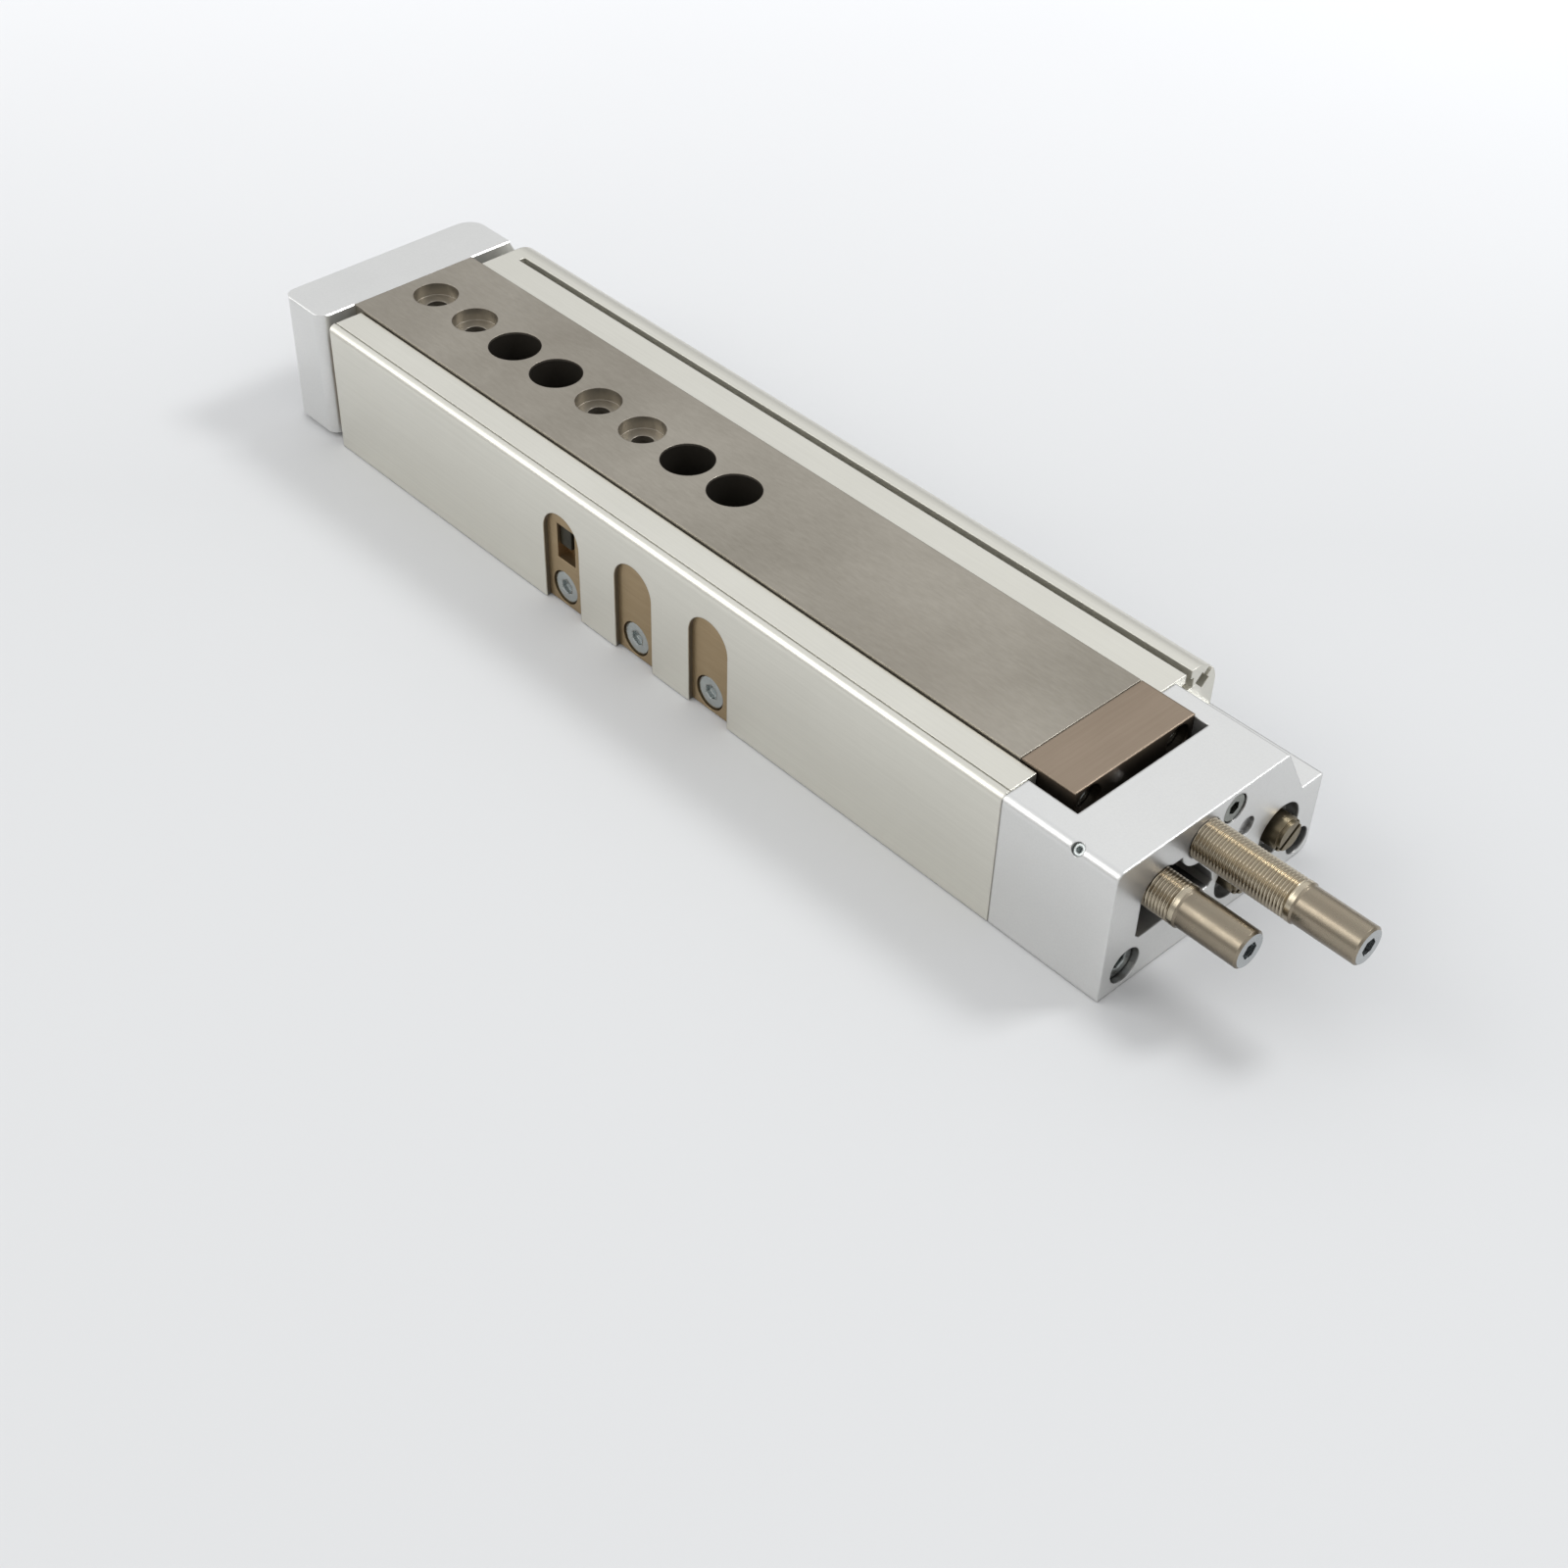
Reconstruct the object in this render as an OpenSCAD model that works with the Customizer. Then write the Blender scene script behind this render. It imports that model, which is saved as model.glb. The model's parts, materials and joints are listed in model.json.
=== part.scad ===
// Pneumatic slide table with a ball guide beside its cylinder.
// Millimetres. X runs along the travel, Z up. The origin is on the base face, under the
// table's first locating hole. At rest the table is retracted; it travels towards -X.

/* [Travel] */
// Travel of the table
stroke = 80; // [70:0.5:84]
// Running gap around the table
table_gap = 0.25; // [0.2:0.01:0.35]
// Clearance between an absorber tip and its stop
tip_gap = 0.3; // [0.2:0.01:0.5]

/* [Table] */
// Length of the table
table_l = 141; // [138:0.5:142]
// Width of the table
table_w = 22.6; // [22:0.1:23]
// Thickness of the table's top plate
plate_t = 5.1; // [4.6:0.1:5.3]
// Pitch of the holes in the table
hole_pitch = 10; // [9.5:0.1:10.5]
// Distance from the yoke to the first hole
first_hole = 5.8; // [5:0.1:6.5]
// Diameter of the locating counterbores in the table
locating_d = 7.1; // [6.5:0.05:7.4]
// Depth of the locating counterbores
locating_depth = 2.1; // [1.5:0.1:2.4]
// Tap diameter of the table's threads
table_tap_d = 3.3; // [2.8:0.05:3.6]
// Depth of the table's threads
table_tap_depth = 9; // [7:0.5:11]
// Diameter of the access holes through the table
access_d = 8.15; // [7.4:0.05:8.4]
// Thickness of the stop plate on the table's end
stop_plate_t = 8.9; // [8.2:0.1:9.4]

/* [Housing] */
// Length of the housing past the table's end
housing_past = 2.9; // [2:0.1:3.5]
// Height of the table's top above the housing
table_proud = 0.5; // [0.3:0.05:0.8]
// Thickness of the near wall
near_wall_t = 6.3; // [6.1:0.05:6.8]
// Width of the cylinder block on the far side
far_block_w = 12.1; // [11.9:0.05:12.8]
// Thickness of the housing floor
floor_t = 4.95; // [4.85:0.05:5.05]
// Radius of the near top edge
near_edge_r = 1.3; // [0.8:0.1:1.6]
// Radius of the far top edge
far_edge_r = 4.5; // [3.8:0.1:4.8]
// Gap between the yoke and the housing
yoke_gap = 2; // [1.2:0.1:2.6]
// Diameter of the screw holes in the housing floor
floor_hole_d = 4.5; // [4.2:0.05:4.8]
// Diameter of the screw head seats in the housing floor
floor_seat_d = 7.6; // [7.2:0.05:8]
// Thickness of the floor under a screw head
floor_seat_t = 1.9; // [1.6:0.1:2.2]
// Thickness of the skin in front of the near guide rail
skin_t = 0.8; // [0.7:0.05:1.3]
// Thickness of the floor strip under the near rail's web
strip_t = 0.9; // [0.6:0.1:1]
// Width of the side windows
window_w = 8.1; // [7:0.1:9]
// Pitch of the side windows
window_pitch = 15.9; // [14:0.1:17]
// Distance from the yoke to the first window's middle
first_window = 58.5; // [57:0.1:59]
// Height of the side windows
window_h = 16.5; // [15.5:0.1:17]
// Mouth width of the sensor slots
slot_mouth = 1.2; // [0.9:0.05:1.4]
// Width of the sensor slots inside
slot_w = 2.4; // [2:0.1:2.6]
// Depth of the sensor slots
slot_depth = 3.1; // [2.6:0.1:3.3]

/* [Guide] */
// Diameter of the guide balls
ball_d = 2.5; // [2.4:0.05:2.7]
// Gap between each ball and its grooves
ball_gap = 0.05; // [0.03:0.01:0.07]
// Pitch of the balls in their cage
ball_pitch = 3.5; // [3.3:0.1:4.5]
// Width of the far rail
far_rail_w = 3.15; // [3:0.05:3.3]
// Height of the guide rails
rail_h = 4.8; // [4.4:0.05:4.85]
// Thickness of the near rail's web behind the windows
rail_web_t = 2; // [1.4:0.05:2.1]
// Gap between the table's stem and each rail
guide_gap = 1.6; // [1.5:0.05:1.7]

/* [Cylinder] */
// Bore of the cylinder
bore_d = 8; // [7.4:0.1:8.2]
// Distance from the bore to the outer face of the far wall
bore_wall = 2.2; // [2:0.05:2.4]
// Height of the bore's axis
bore_z = 7.6; // [7.5:0.05:7.8]
// Diameter of the piston rod
rod_d = 4; // [3.6:0.1:4.6]
// Length of the piston
piston_l = 11; // [10:0.5:14]

/* [End cap] */
// Depth of the end cap
cap_l = 18.6; // [17.5:0.1:20]
// Thickness of the end cap's front wall
cap_wall = 10.4; // [9.8:0.1:10.6]
// Height of the wing that leaves the sensor slots open
wing_h = 13.1; // [12.8:0.1:13.4]
// Width of the top face beside the table on the far side
shoulder_w = 3; // [2.6:0.1:3.4]

/* [Shock absorbers] */
// Thread diameter of the absorbers
absorber_d = 5.8; // [5.4:0.05:5.9]
// Clearance under the moving absorber
absorber_room = 0.95; // [0.6:0.05:1.2]
// Diameter of the absorbers' smooth ends
absorber_end_d = 5.4; // [5:0.05:5.4]
// Length of the absorber sleeves
absorber_l = 34; // [32:0.5:38]
// Length of the smooth end of each sleeve
absorber_smooth_l = 9.2; // [8:0.1:14]
// Length of plunger standing out of a sleeve
plunger_out = 2.7; // [2:0.1:3]
// Diameter of the plungers
plunger_d = 2.4; // [2:0.1:2.8]

/* [Yoke] */
// Thickness of the yoke plate
yoke_t = 10; // [9:0.1:11.5]
// Height of the yoke plate's lower edge
yoke_lift = 0.6; // [0.4:0.1:1]
// Radius of the yoke's outer edges
yoke_r = 2; // [1.5:0.1:2.4]

/* [Hidden] */
$fn = 64;
eps = 0.05;         // overrun of a cut past the face that it leaves
fit = 0.02;         // radial gap of a screwed or pressed joint inside one body
run = 0.05;         // radial gap of a running fit
rest_gap = 0.3;     // gap between parts that pass each other

// Heights, from the floor up to the table's top
rail_z = floor_t;
groove_z = rail_z + rail_h / 2;
rail_clear = 0.1;
channel_z = rail_z + rail_h + rail_clear;
stem_gap = 0.4;
stem_z = floor_t + stem_gap;
extend_z = channel_z + absorber_room + absorber_d / 2;
plate_z = extend_z + absorber_d / 2 + rest_gap;
table_top = plate_z + plate_t;
housing_h = table_top - table_proud;

// Lengths
seam_x = -first_hole;
table_end = seam_x + table_l;
stop_end = table_end + stop_plate_t;
house_x = seam_x + yoke_gap;
house_end = table_end + housing_past;
housing_l = house_end - house_x;
cap_end = house_end + cap_l;
notch_end = cap_end - cap_wall;

// Widths
channel_y = table_w / 2 + table_gap;
near_y = -channel_y - near_wall_t;
far_y = channel_y + far_block_w;
web_y = near_y + skin_t;                    // outer face of the near rail
foot_y = web_y + rail_web_t;                // back face of the near rail's web
rail_face = channel_y - far_rail_w;
ball_row = rail_face - guide_gap / 2;
stem_face = ball_row - guide_gap / 2;
groove_r = ball_d / 2 + ball_gap;
bore_y = far_y - bore_wall - bore_d / 2;

// Holes along the table: locating pair and access pair, twice
locating_n = [0, 1, 4, 5];
access_n = [2, 3, 6, 7];
locating_r = locating_d / 2;

line_w = 0.25;
end_r = skin_t - 0.1;     // rounding of the housing's near upright edge
seam_w = 0.2;

// Sensor slots
slot_lip = 1.4;
slot_start = house_x + 3;
slot_y = channel_y + 6;
far_slot_y = far_y - far_edge_r;
far_slot_z = housing_h - far_edge_r;
far_slot_angle = 45;

// Shock absorbers
retract_y = -1.1;
retract_z = table_top - 4.7;
absorber_r = absorber_d / 2;
absorber_side = 0.5;
relief_y = -channel_y - 0.65;               // near side of the channel's relief
extend_y = relief_y + absorber_r + absorber_side;
stem_near = extend_y + absorber_r + absorber_side;
retract_x = stop_end + tip_gap + plunger_out;
retract_end = retract_x + absorber_l;
extend_end = retract_end - 10.6;
extend_x = extend_end - absorber_l;
extend_tip = extend_x - plunger_out;
plunger_in = 8;
hex_key_d = 2.6;
tip_bevel = 0.3;

// Fixed stop for the extended position
stop_x = extend_tip - stroke - tip_gap;
stop_l = 4.6;
lug_l = 2.4;
lug_z = channel_z + 0.4;
lug_h = 3.6;
lug_play = 0.2;

// Screws: [shank radius, head radius, head height]
m3 = [1.48, 2.5, 2.6];
m25_low = [1.23, 2.5, 1.2];
m25 = [1.23, 2, 2];
m2 = [0.98, 1.8, 1.4];
head_gap = 0.18;
socket_d = 2.5;

// Cap fixings
cap_screw_near = [foot_y + 1.75, 3.35];
cap_screw_far = [far_y - 2.65, 2.9];
cap_screw_grip = cap_l - 3.6;
cap_screw_in = 10;
rail_screw_z = 3.15;
rail_screw_off = 0.4;     // towards the yoke from the window's middle
rail_screw_l = 5;
foot_gap = 0.15;
rail_screw_seat = 1.45;
rail_screw_gap = 0.25;
far_rail_screw_y = rail_face + far_rail_w / 2 + 0.3;
far_rail_screw_n = 4;
far_rail_screw_first = 26;
far_rail_screw_last = 20;
far_rail_screw_seat = 2.4;
far_rail_screw_in = 3.4;
lock_x = cap_end - 6.6;
lock_in = 0.4;          // the hole's place inside both faces of the edge
lock_r = 0.9;
lock_depth = 4;
lock_l = 2.9;
lock_sunk = 0.5;
clamp_y = 4.5;
clamp_z = table_top - 3.3;
clamp_seat = 2.2;
clamp_tip = 0.8;
vent_y = 7.9;
vent_z = table_top - 8.4;
vent_r = 1.5;
vent_depth = 0.7;

// Air ports, [y, z]: the rear one feeds the bore, the front one a duct in the floor
ports = [[bore_y - 1.65, bore_z + 0.6], [7.5, 6]];
port_face_r = 4.05;
port_face_depth = 2;
port_tap_r = 2.1;
port_tap_l = 6.5;
port_duct_r = 1;
duct_y = 6.3;
duct_z = 2.4;
duct_r = 0.9;
duct_rise = 1.2;
plug_l = 5;
plug_r = 2.5;
plug_slot_w = 0.8;
plug_slot_depth = 1;
plug_turn = 37;
plug_out = 1.9;
spigot_l = 3.5;
seal_cord = 1;

// Stop plate fixings
stop_screw_y = table_w / 2 - 2.9;
stop_screw_z = plate_z + plate_t / 2;
stop_screw_in = 6;
stop_screw_seat = 5.5;
stop_plate_z = channel_z + 0.2;

// Rod bearing
ring_x = house_x + 0.7;
ring_t = 0.8;
bearing_x = ring_x + ring_t;
bearing_l = 8.5;
seal_l = 2;
seal_r = rod_d / 2 + 1.15;
front_chamber = bearing_x + bearing_l + 3;
piston_end = house_end - spigot_l - 1;
piston_x = piston_end - piston_l;
rod_sunk = 2.5;
rod_screw_in = 9;
rod_tail = 4;

// Yoke fixings
yoke_screw_y = 8;
yoke_screw_z = plate_z + 1.7;
yoke_stem_z = groove_z + 0.6;
yoke_seat = 5.6;
yoke_plate_grip = 6;
yoke_stem_grip = 8;
yoke_tap_r = 1.65;
yoke_slope = 4.6;
yoke_corner_r = 3;
yoke_bevel = 0.3;
yoke_tap_l = 8;
yoke_tap_y = 12.5;
yoke_tap_z = [5.5, 16];

// Colours
aluminium = "#d9d9d6";
table_steel = "#a09a92";
rail_steel = "#8f8476";
zinc = "#b9bec4";
nickel = "#b5aa9b";

// A profile in Y and Z, drawn out along X
module along_x(x, l) {
    translate([x, 0, 0]) rotate([90, 0, 90]) linear_extrude(l) children();
}

// A round bar along X
module bar_x(x, l, y, z, r) {
    translate([x, y, z]) rotate([0, 90, 0]) cylinder(h = l, r = r);
}

// A round bar along Y
module bar_y(x, y, l, z, r) {
    translate([x, y, z]) rotate([-90, 0, 0]) cylinder(h = l, r = r);
}

// A box given by its low corner and its size
module box(x, y, z, l, w, h) {
    translate([x, y, z]) cube([l, w, h]);
}

// The waste outside a rounded corner; turned by a multiple of 90 degrees
module corner_waste(y, z, turn, r) {
    translate([y, z]) rotate(turn) difference() {
        translate([-eps, -eps]) square(r + eps);
        translate([r, r]) circle(r);
    }
}

// A socket head screw along +X, its head towards -X, seat at the origin
module cap_screw(size, l) {
    rotate([0, 90, 0]) difference() {
        union() {
            cylinder(h = l, r = size[0]);
            translate([0, 0, -size[2]]) cylinder(h = size[2], r = size[1]);
        }
        translate([0, 0, -size[2] - eps])
            cylinder(h = max(size[2] * 0.55, 0.9), d = socket_d * size[1] / m3[1], $fn = 6);
    }
}

// The room for such a screw: head counterbore of a given depth and shank hole
module screw_room(size, l, depth) {
    rotate([0, 90, 0]) {
        translate([0, 0, -eps]) cylinder(h = l + eps, r = size[0] + fit);
        translate([0, 0, -depth]) cylinder(h = depth, r = size[1] + head_gap);
    }
}

// A sensor slot along X, opening upwards from a mouth at the origin
module sensor_slot(x, l) {
    along_x(x, l) {
        translate([-slot_mouth / 2, -slot_lip - eps]) square([slot_mouth, slot_lip + 1]);
        translate([-slot_w / 2, -slot_depth]) square([slot_w, slot_depth - slot_lip]);
    }
}

module housing_profile() {
    difference() {
        translate([near_y, 0]) square([far_y - near_y, housing_h]);
        corner_waste(near_y, housing_h, -90, near_edge_r);
        corner_waste(far_y, housing_h, 180, far_edge_r);
        corner_waste(far_y, 0, 90, near_edge_r);
        // Fine line along the top beside the rounded edge
        translate([near_y + near_edge_r + 0.1, housing_h - line_w]) square([line_w, 1]);
        // Channel for the table
        translate([-channel_y, channel_z]) square([2 * channel_y, housing_h]);
        // Relief for the moving absorber
        translate([relief_y, channel_z]) square([channel_y, plate_z + rest_gap - channel_z]);
        // Seats of both rails and the room between them
        translate([foot_y - eps, rail_z]) square([channel_y - foot_y + eps, channel_z - rail_z + eps]);
        translate([web_y, strip_t]) square([rail_web_t, plate_z + rest_gap - strip_t]);
    }
}

module near_windows() {
    for (n = [0 : 2]) translate([seam_x + first_window + n * window_pitch, near_y - eps, 0]) {
        box(-window_w / 2, 0, -eps, window_w, skin_t + 2 * eps, window_h - window_w / 2 + eps);
        bar_y(0, 0, skin_t + 2 * eps, window_h - window_w / 2, window_w / 2);
        // Way for the rail's foot through the floor strip
        box(-window_w / 2, skin_t, -eps, window_w, rail_web_t, strip_t + 2 * eps);
    }
}

function window_x(n) = seam_x + first_window + n * window_pitch;
function rail_screw_x(n) = window_x(n) - rail_screw_off;
far_screw_pitch = (housing_l - far_rail_screw_first - far_rail_screw_last) / (far_rail_screw_n - 1);
function far_screw_x(n) = house_x + far_rail_screw_first + n * far_screw_pitch;

module housing() color(aluminium) difference() {
    along_x(house_x, housing_l) housing_profile();
    near_windows();
    translate([house_x, near_y, 0]) upright_waste(end_r, housing_h);
    // Cylinder bore, bearing ring groove
    bar_x(house_x - eps, housing_l + 2 * eps, bore_y, bore_z, bore_d / 2);
    bar_x(ring_x, ring_t, bore_y, bore_z, bore_d / 2 + 0.4);
    // Sensor slots: one in the top, one in the rounded shoulder
    translate([0, slot_y, housing_h]) sensor_slot(slot_start, housing_l);
    translate([0, far_slot_y, far_slot_z]) rotate([-far_slot_angle, 0, 0])
        translate([0, 0, far_edge_r]) sensor_slot(slot_start, housing_l);
    // Counterbored screw holes in the floor under the table's access holes
    for (n = access_n) translate([n * hole_pitch, 0, -eps]) {
        cylinder(h = floor_t + 2 * eps, d = floor_hole_d);
        translate([0, 0, floor_seat_t + eps]) cylinder(h = floor_t, d = floor_seat_d);
    }
    // Threads for the near rail's screws
    for (n = [0 : 2]) bar_y(rail_screw_x(n), foot_y - eps, rail_screw_l + 1, rail_screw_z, m25[0] + fit);
    // Counterbored holes for the far rail's screws
    for (n = [0 : far_rail_screw_n - 1]) translate([far_screw_x(n), far_rail_screw_y, -eps]) {
        cylinder(h = floor_t + 2 * eps, r = m2[0] + fit);
        cylinder(h = far_rail_screw_seat + eps, r = m2[1] + head_gap);
    }
    // Opening for the fixed stop's lug
    box(stop_x - lug_l - lug_play, foot_y - eps, channel_z - eps,
        lug_l + 2 * lug_play, relief_y - foot_y + 2 * eps, lug_z + lug_h + lug_play - channel_z);
    // Threads for the end cap's screws
    translate([house_end - cap_screw_in - 1, 0, 0]) {
        bar_x(0, cap_screw_in + 2, cap_screw_near[0], cap_screw_near[1], m3[0] + fit);
        bar_x(0, cap_screw_in + 2, cap_screw_far[0], cap_screw_far[1], m25[0] + fit);
    }
    // Air duct to the front chamber
    bar_x(front_chamber, house_end - front_chamber + eps, duct_y, duct_z, duct_r);
    bar_y(front_chamber + duct_r, duct_y, bore_y - duct_y - 1.4, duct_z + duct_rise, duct_r);
}

// Hardened rail with its ball groove; the near one has a web behind the windows
module guide_rail_near() color(rail_steel) difference() {
    union() {
        box(house_x, web_y, strip_t + fit, housing_l, rail_web_t, plate_z - strip_t - fit);
        box(house_x, foot_y - eps, rail_z, housing_l, -rail_face - foot_y + eps, rail_h);
        // Feet that close the windows downwards
        for (n = [0 : 2]) box(window_x(n) - window_w / 2 + fit, web_y, foot_gap,
            window_w - 2 * fit, rail_web_t, strip_t);
    }
    bar_x(house_x - eps, housing_l + 2 * eps, -ball_row, groove_z, groove_r);
    for (n = [0 : 2]) {
        bar_y(rail_screw_x(n), web_y - eps, rail_web_t + 2 * eps, rail_screw_z, m25_low[0] + fit);
        bar_y(rail_screw_x(n), web_y - eps, rail_screw_seat + eps, rail_screw_z,
            m25_low[1] + rail_screw_gap);
    }
    box(stop_x - lug_l - lug_play, web_y - eps, lug_z - 2.2,
        lug_l + 2 * lug_play + 1.2, rail_web_t + 2 * eps, lug_h + 2.2 + lug_play);
}

module guide_rail_far() color(rail_steel) difference() {
    box(house_x, rail_face, rail_z, housing_l, far_rail_w, rail_h);
    bar_x(house_x - eps, housing_l + 2 * eps, ball_row, groove_z, groove_r);
    for (n = [0 : far_rail_screw_n - 1])
        translate([far_screw_x(n), far_rail_screw_y, rail_z - eps])
            cylinder(h = far_rail_screw_in, r = m2[0] + fit);
}

module near_rail_screws() color(zinc)
    for (n = [0 : 2]) translate([rail_screw_x(n), web_y + rail_screw_seat, rail_screw_z])
        rotate([0, 0, 90]) cap_screw(m25_low, rail_web_t - rail_screw_seat + rail_screw_l);

module far_rail_screws() color(zinc)
    for (n = [0 : far_rail_screw_n - 1])
        translate([far_screw_x(n), far_rail_screw_y, far_rail_screw_seat])
            rotate([0, -90, 0]) cap_screw(m2, rail_z - far_rail_screw_seat + far_rail_screw_in - 0.6);

// Steel stop that the moving absorber meets, held by a lug in the near rail's web
module fixed_stop() color(rail_steel) {
    difference() {
        box(stop_x - stop_l, relief_y + table_gap, channel_z, stop_l,
            stem_near - rest_gap - relief_y - table_gap, plate_z - rest_gap - channel_z);
        bar_x(stop_x - 1, 1 + eps, extend_y, extend_z, 0.6);
    }
    box(stop_x - lug_l, web_y + 0.5, lug_z, lug_l, relief_y + table_gap - web_y - 0.5 + eps, lug_h);
}

// Ball cages sit where balls stay on both raceways over the whole travel
cage_x = max(house_x, seam_x) + stroke / 2 + 3;
cage_l = table_end - stroke / 2 - 3 - cage_x;
ball_n = floor((cage_l - ball_pitch) / ball_pitch);
ball_x0 = cage_x + (cage_l - (ball_n - 1) * ball_pitch) / 2;
cage_t = 1;
cage_h = rail_h - 1;

module ball_cage(side) color("#c9b37a") difference() {
    box(cage_x, side * ball_row - cage_t / 2, groove_z - cage_h / 2, cage_l, cage_t, cage_h);
    for (n = [0 : ball_n - 1])
        bar_y(ball_x0 + n * ball_pitch, side * ball_row - cage_t, 2 * cage_t, groove_z, groove_r);
}

module ball_row_of(side) color("#d8d8d8")
    for (n = [0 : ball_n - 1])
        translate([ball_x0 + n * ball_pitch, side * ball_row, groove_z]) sphere(d = ball_d, $fn = 32);

module ball_cage_near() ball_cage(-1);
module ball_cage_far() ball_cage(1);
module balls_near() ball_row_of(-1);
module balls_far() ball_row_of(1);

module slide_table() color(table_steel) difference() {
    union() {
        box(seam_x, -table_w / 2, plate_z, table_l, table_w, plate_t);
        box(seam_x, stem_near, stem_z, table_l, stem_face - stem_near, plate_z - stem_z + eps);
        box(seam_x, -stem_face, stem_z, table_l, stem_face, rail_z + rail_h - 0.4 - stem_z);
    }
    for (side = [-1, 1]) bar_x(seam_x - eps, table_l + 2 * eps, side * ball_row, groove_z, groove_r);
    for (n = locating_n) translate([n * hole_pitch, 0, 0]) {
        translate([0, 0, table_top - locating_depth]) cylinder(h = locating_depth + eps, r = locating_r);
        translate([0, 0, table_top - table_tap_depth]) cylinder(h = table_tap_depth, d = table_tap_d);
    }
    for (n = access_n) translate([n * hole_pitch, 0, stem_z - eps])
        cylinder(h = table_top - stem_z + 2 * eps, d = access_d);
    for (p = yoke_screw_spots())
        bar_x(seam_x - eps, yoke_screw_l(p) - yoke_seat + 0.6, p[0], p[1], m3[0] + fit);
    for (side = [-1, 1])
        bar_x(table_end - stop_screw_in - 1, stop_screw_in + 2,
            side * stop_screw_y, stop_screw_z, m25[0] + fit);
}

module stop_plate() color("#93857a") difference() {
    box(table_end, -table_w / 2, stop_plate_z, stop_plate_t, table_w, table_top - stop_plate_z);
    // Fine open joint against the table
    box(table_end - eps, -table_w, table_top - line_w, line_w / 2 + eps, 2 * table_w, 1);
    bar_x(table_end - eps, stop_plate_t + 2 * eps, extend_y, extend_z, absorber_r + fit);
    for (side = [-1, 1]) translate([table_end + stop_screw_seat, side * stop_screw_y, stop_screw_z])
        mirror([1, 0, 0]) screw_room(m25, stop_screw_seat + eps, stop_plate_t - stop_screw_seat + eps);
}

module stop_plate_screws() color(zinc)
    for (side = [-1, 1]) translate([table_end + stop_screw_seat, side * stop_screw_y, stop_screw_z])
        mirror([1, 0, 0]) cap_screw(m25, stop_screw_seat + stop_screw_in);

// Yoke screws: two in the table's plate, one in its stem; [y, z]
function yoke_screw_spots() =
    [[-yoke_screw_y, yoke_screw_z], [yoke_screw_y, yoke_screw_z], [0, yoke_stem_z]];
function yoke_screw_l(p) = yoke_seat + (p[0] == 0 ? yoke_stem_grip : yoke_plate_grip);

module yoke_profile() {
    difference() {
        polygon([[near_y, yoke_lift], [far_y, yoke_lift], [far_y, wing_h],
            [far_y - yoke_slope, table_top], [near_y, table_top]]);
        corner_waste(near_y, table_top, -90, yoke_bevel);
        corner_waste(near_y, yoke_lift, 0, yoke_bevel);
        corner_waste(far_y, yoke_lift, 90, near_edge_r);
    }
}

// The waste outside a rounded upright edge
module upright_waste(r, l) {
    difference() {
        box(-eps, -eps, -eps, r + eps, r + eps, l + 1);
        translate([r, r, -1]) cylinder(h = l + 3, r = r);
    }
}

// Waste outside the rounded far edge of the yoke's outer face, upright and along the slope
module yoke_far_waste(r) {
    translate([seam_x - yoke_t, far_y, 0]) mirror([0, 1, 0]) upright_waste(r, wing_h);
    translate([seam_x - yoke_t, far_y, wing_h]) rotate([atan2(yoke_slope, table_top - wing_h), 0, 0])
        mirror([0, 1, 0]) upright_waste(r, table_top);
}

module yoke_plate() color(aluminium) difference() {
    along_x(seam_x - yoke_t, yoke_t) yoke_profile();
    // Rounded upright edges
    yoke_far_waste(yoke_corner_r);
    translate([seam_x - yoke_t, near_y, 0]) upright_waste(yoke_r, table_top);
    translate([2 * seam_x - yoke_t, 0, 0]) mirror([1, 0, 0]) {
        yoke_far_waste(yoke_bevel);
        translate([seam_x - yoke_t, near_y, 0]) upright_waste(yoke_r, table_top);
    }
    // Bevelled on both sides of the table, which meets a sharp edge
    for (y = [[near_y - 1, -table_w / 2], [table_w / 2, far_y + 1]])
        translate([seam_x, y[0], table_top]) rotate([0, 45, 0])
            translate([-yoke_bevel, 0, -yoke_bevel / 2]) cube([2 * yoke_bevel, y[1] - y[0], 1]);
    for (p = yoke_screw_spots()) translate([seam_x - yoke_seat, p[0], p[1]])
        screw_room(m3, yoke_seat + eps, yoke_t - yoke_seat + eps);
    // Piston rod seat and its screw
    bar_x(seam_x - rod_sunk, rod_sunk + eps, bore_y, bore_z, rod_d / 2 + fit);
    translate([seam_x - yoke_seat, bore_y, bore_z])
        screw_room(m25, yoke_seat, yoke_t - yoke_seat + eps);
    // Threads for a load on the outer face
    for (side = [-1, 1]) for (z = yoke_tap_z)
        bar_x(seam_x - yoke_t - eps, yoke_tap_l + eps, side * yoke_tap_y, z, yoke_tap_r);
}

module yoke_screws() color(zinc)
    for (p = yoke_screw_spots()) translate([seam_x - yoke_seat, p[0], p[1]]) cap_screw(m3, yoke_screw_l(p));

module piston_rod() color("#c8ccd0") difference() {
    bar_x(seam_x - rod_sunk, piston_x + rod_tail - seam_x + rod_sunk, bore_y, bore_z, rod_d / 2);
    bar_x(seam_x - rod_sunk - eps, rod_screw_in + eps, bore_y, bore_z, m25[0] + fit);
}

module rod_screw() color(zinc)
    translate([seam_x - yoke_seat, bore_y, bore_z]) cap_screw(m25, yoke_seat - rod_sunk + rod_screw_in - 1);

// Piston: a round body with two seal grooves and a magnet groove between them
seal_w = 1.8;
magnet_w = 3;
groove_wall = (piston_l - 2 * seal_w - magnet_w) / 4;
piston_core = bore_d / 2 - 1.4;
magnet_x = piston_x + 2 * groove_wall + seal_w;
function seal_x(n) = piston_x + groove_wall + n * (seal_w + 2 * groove_wall + magnet_w);

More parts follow.
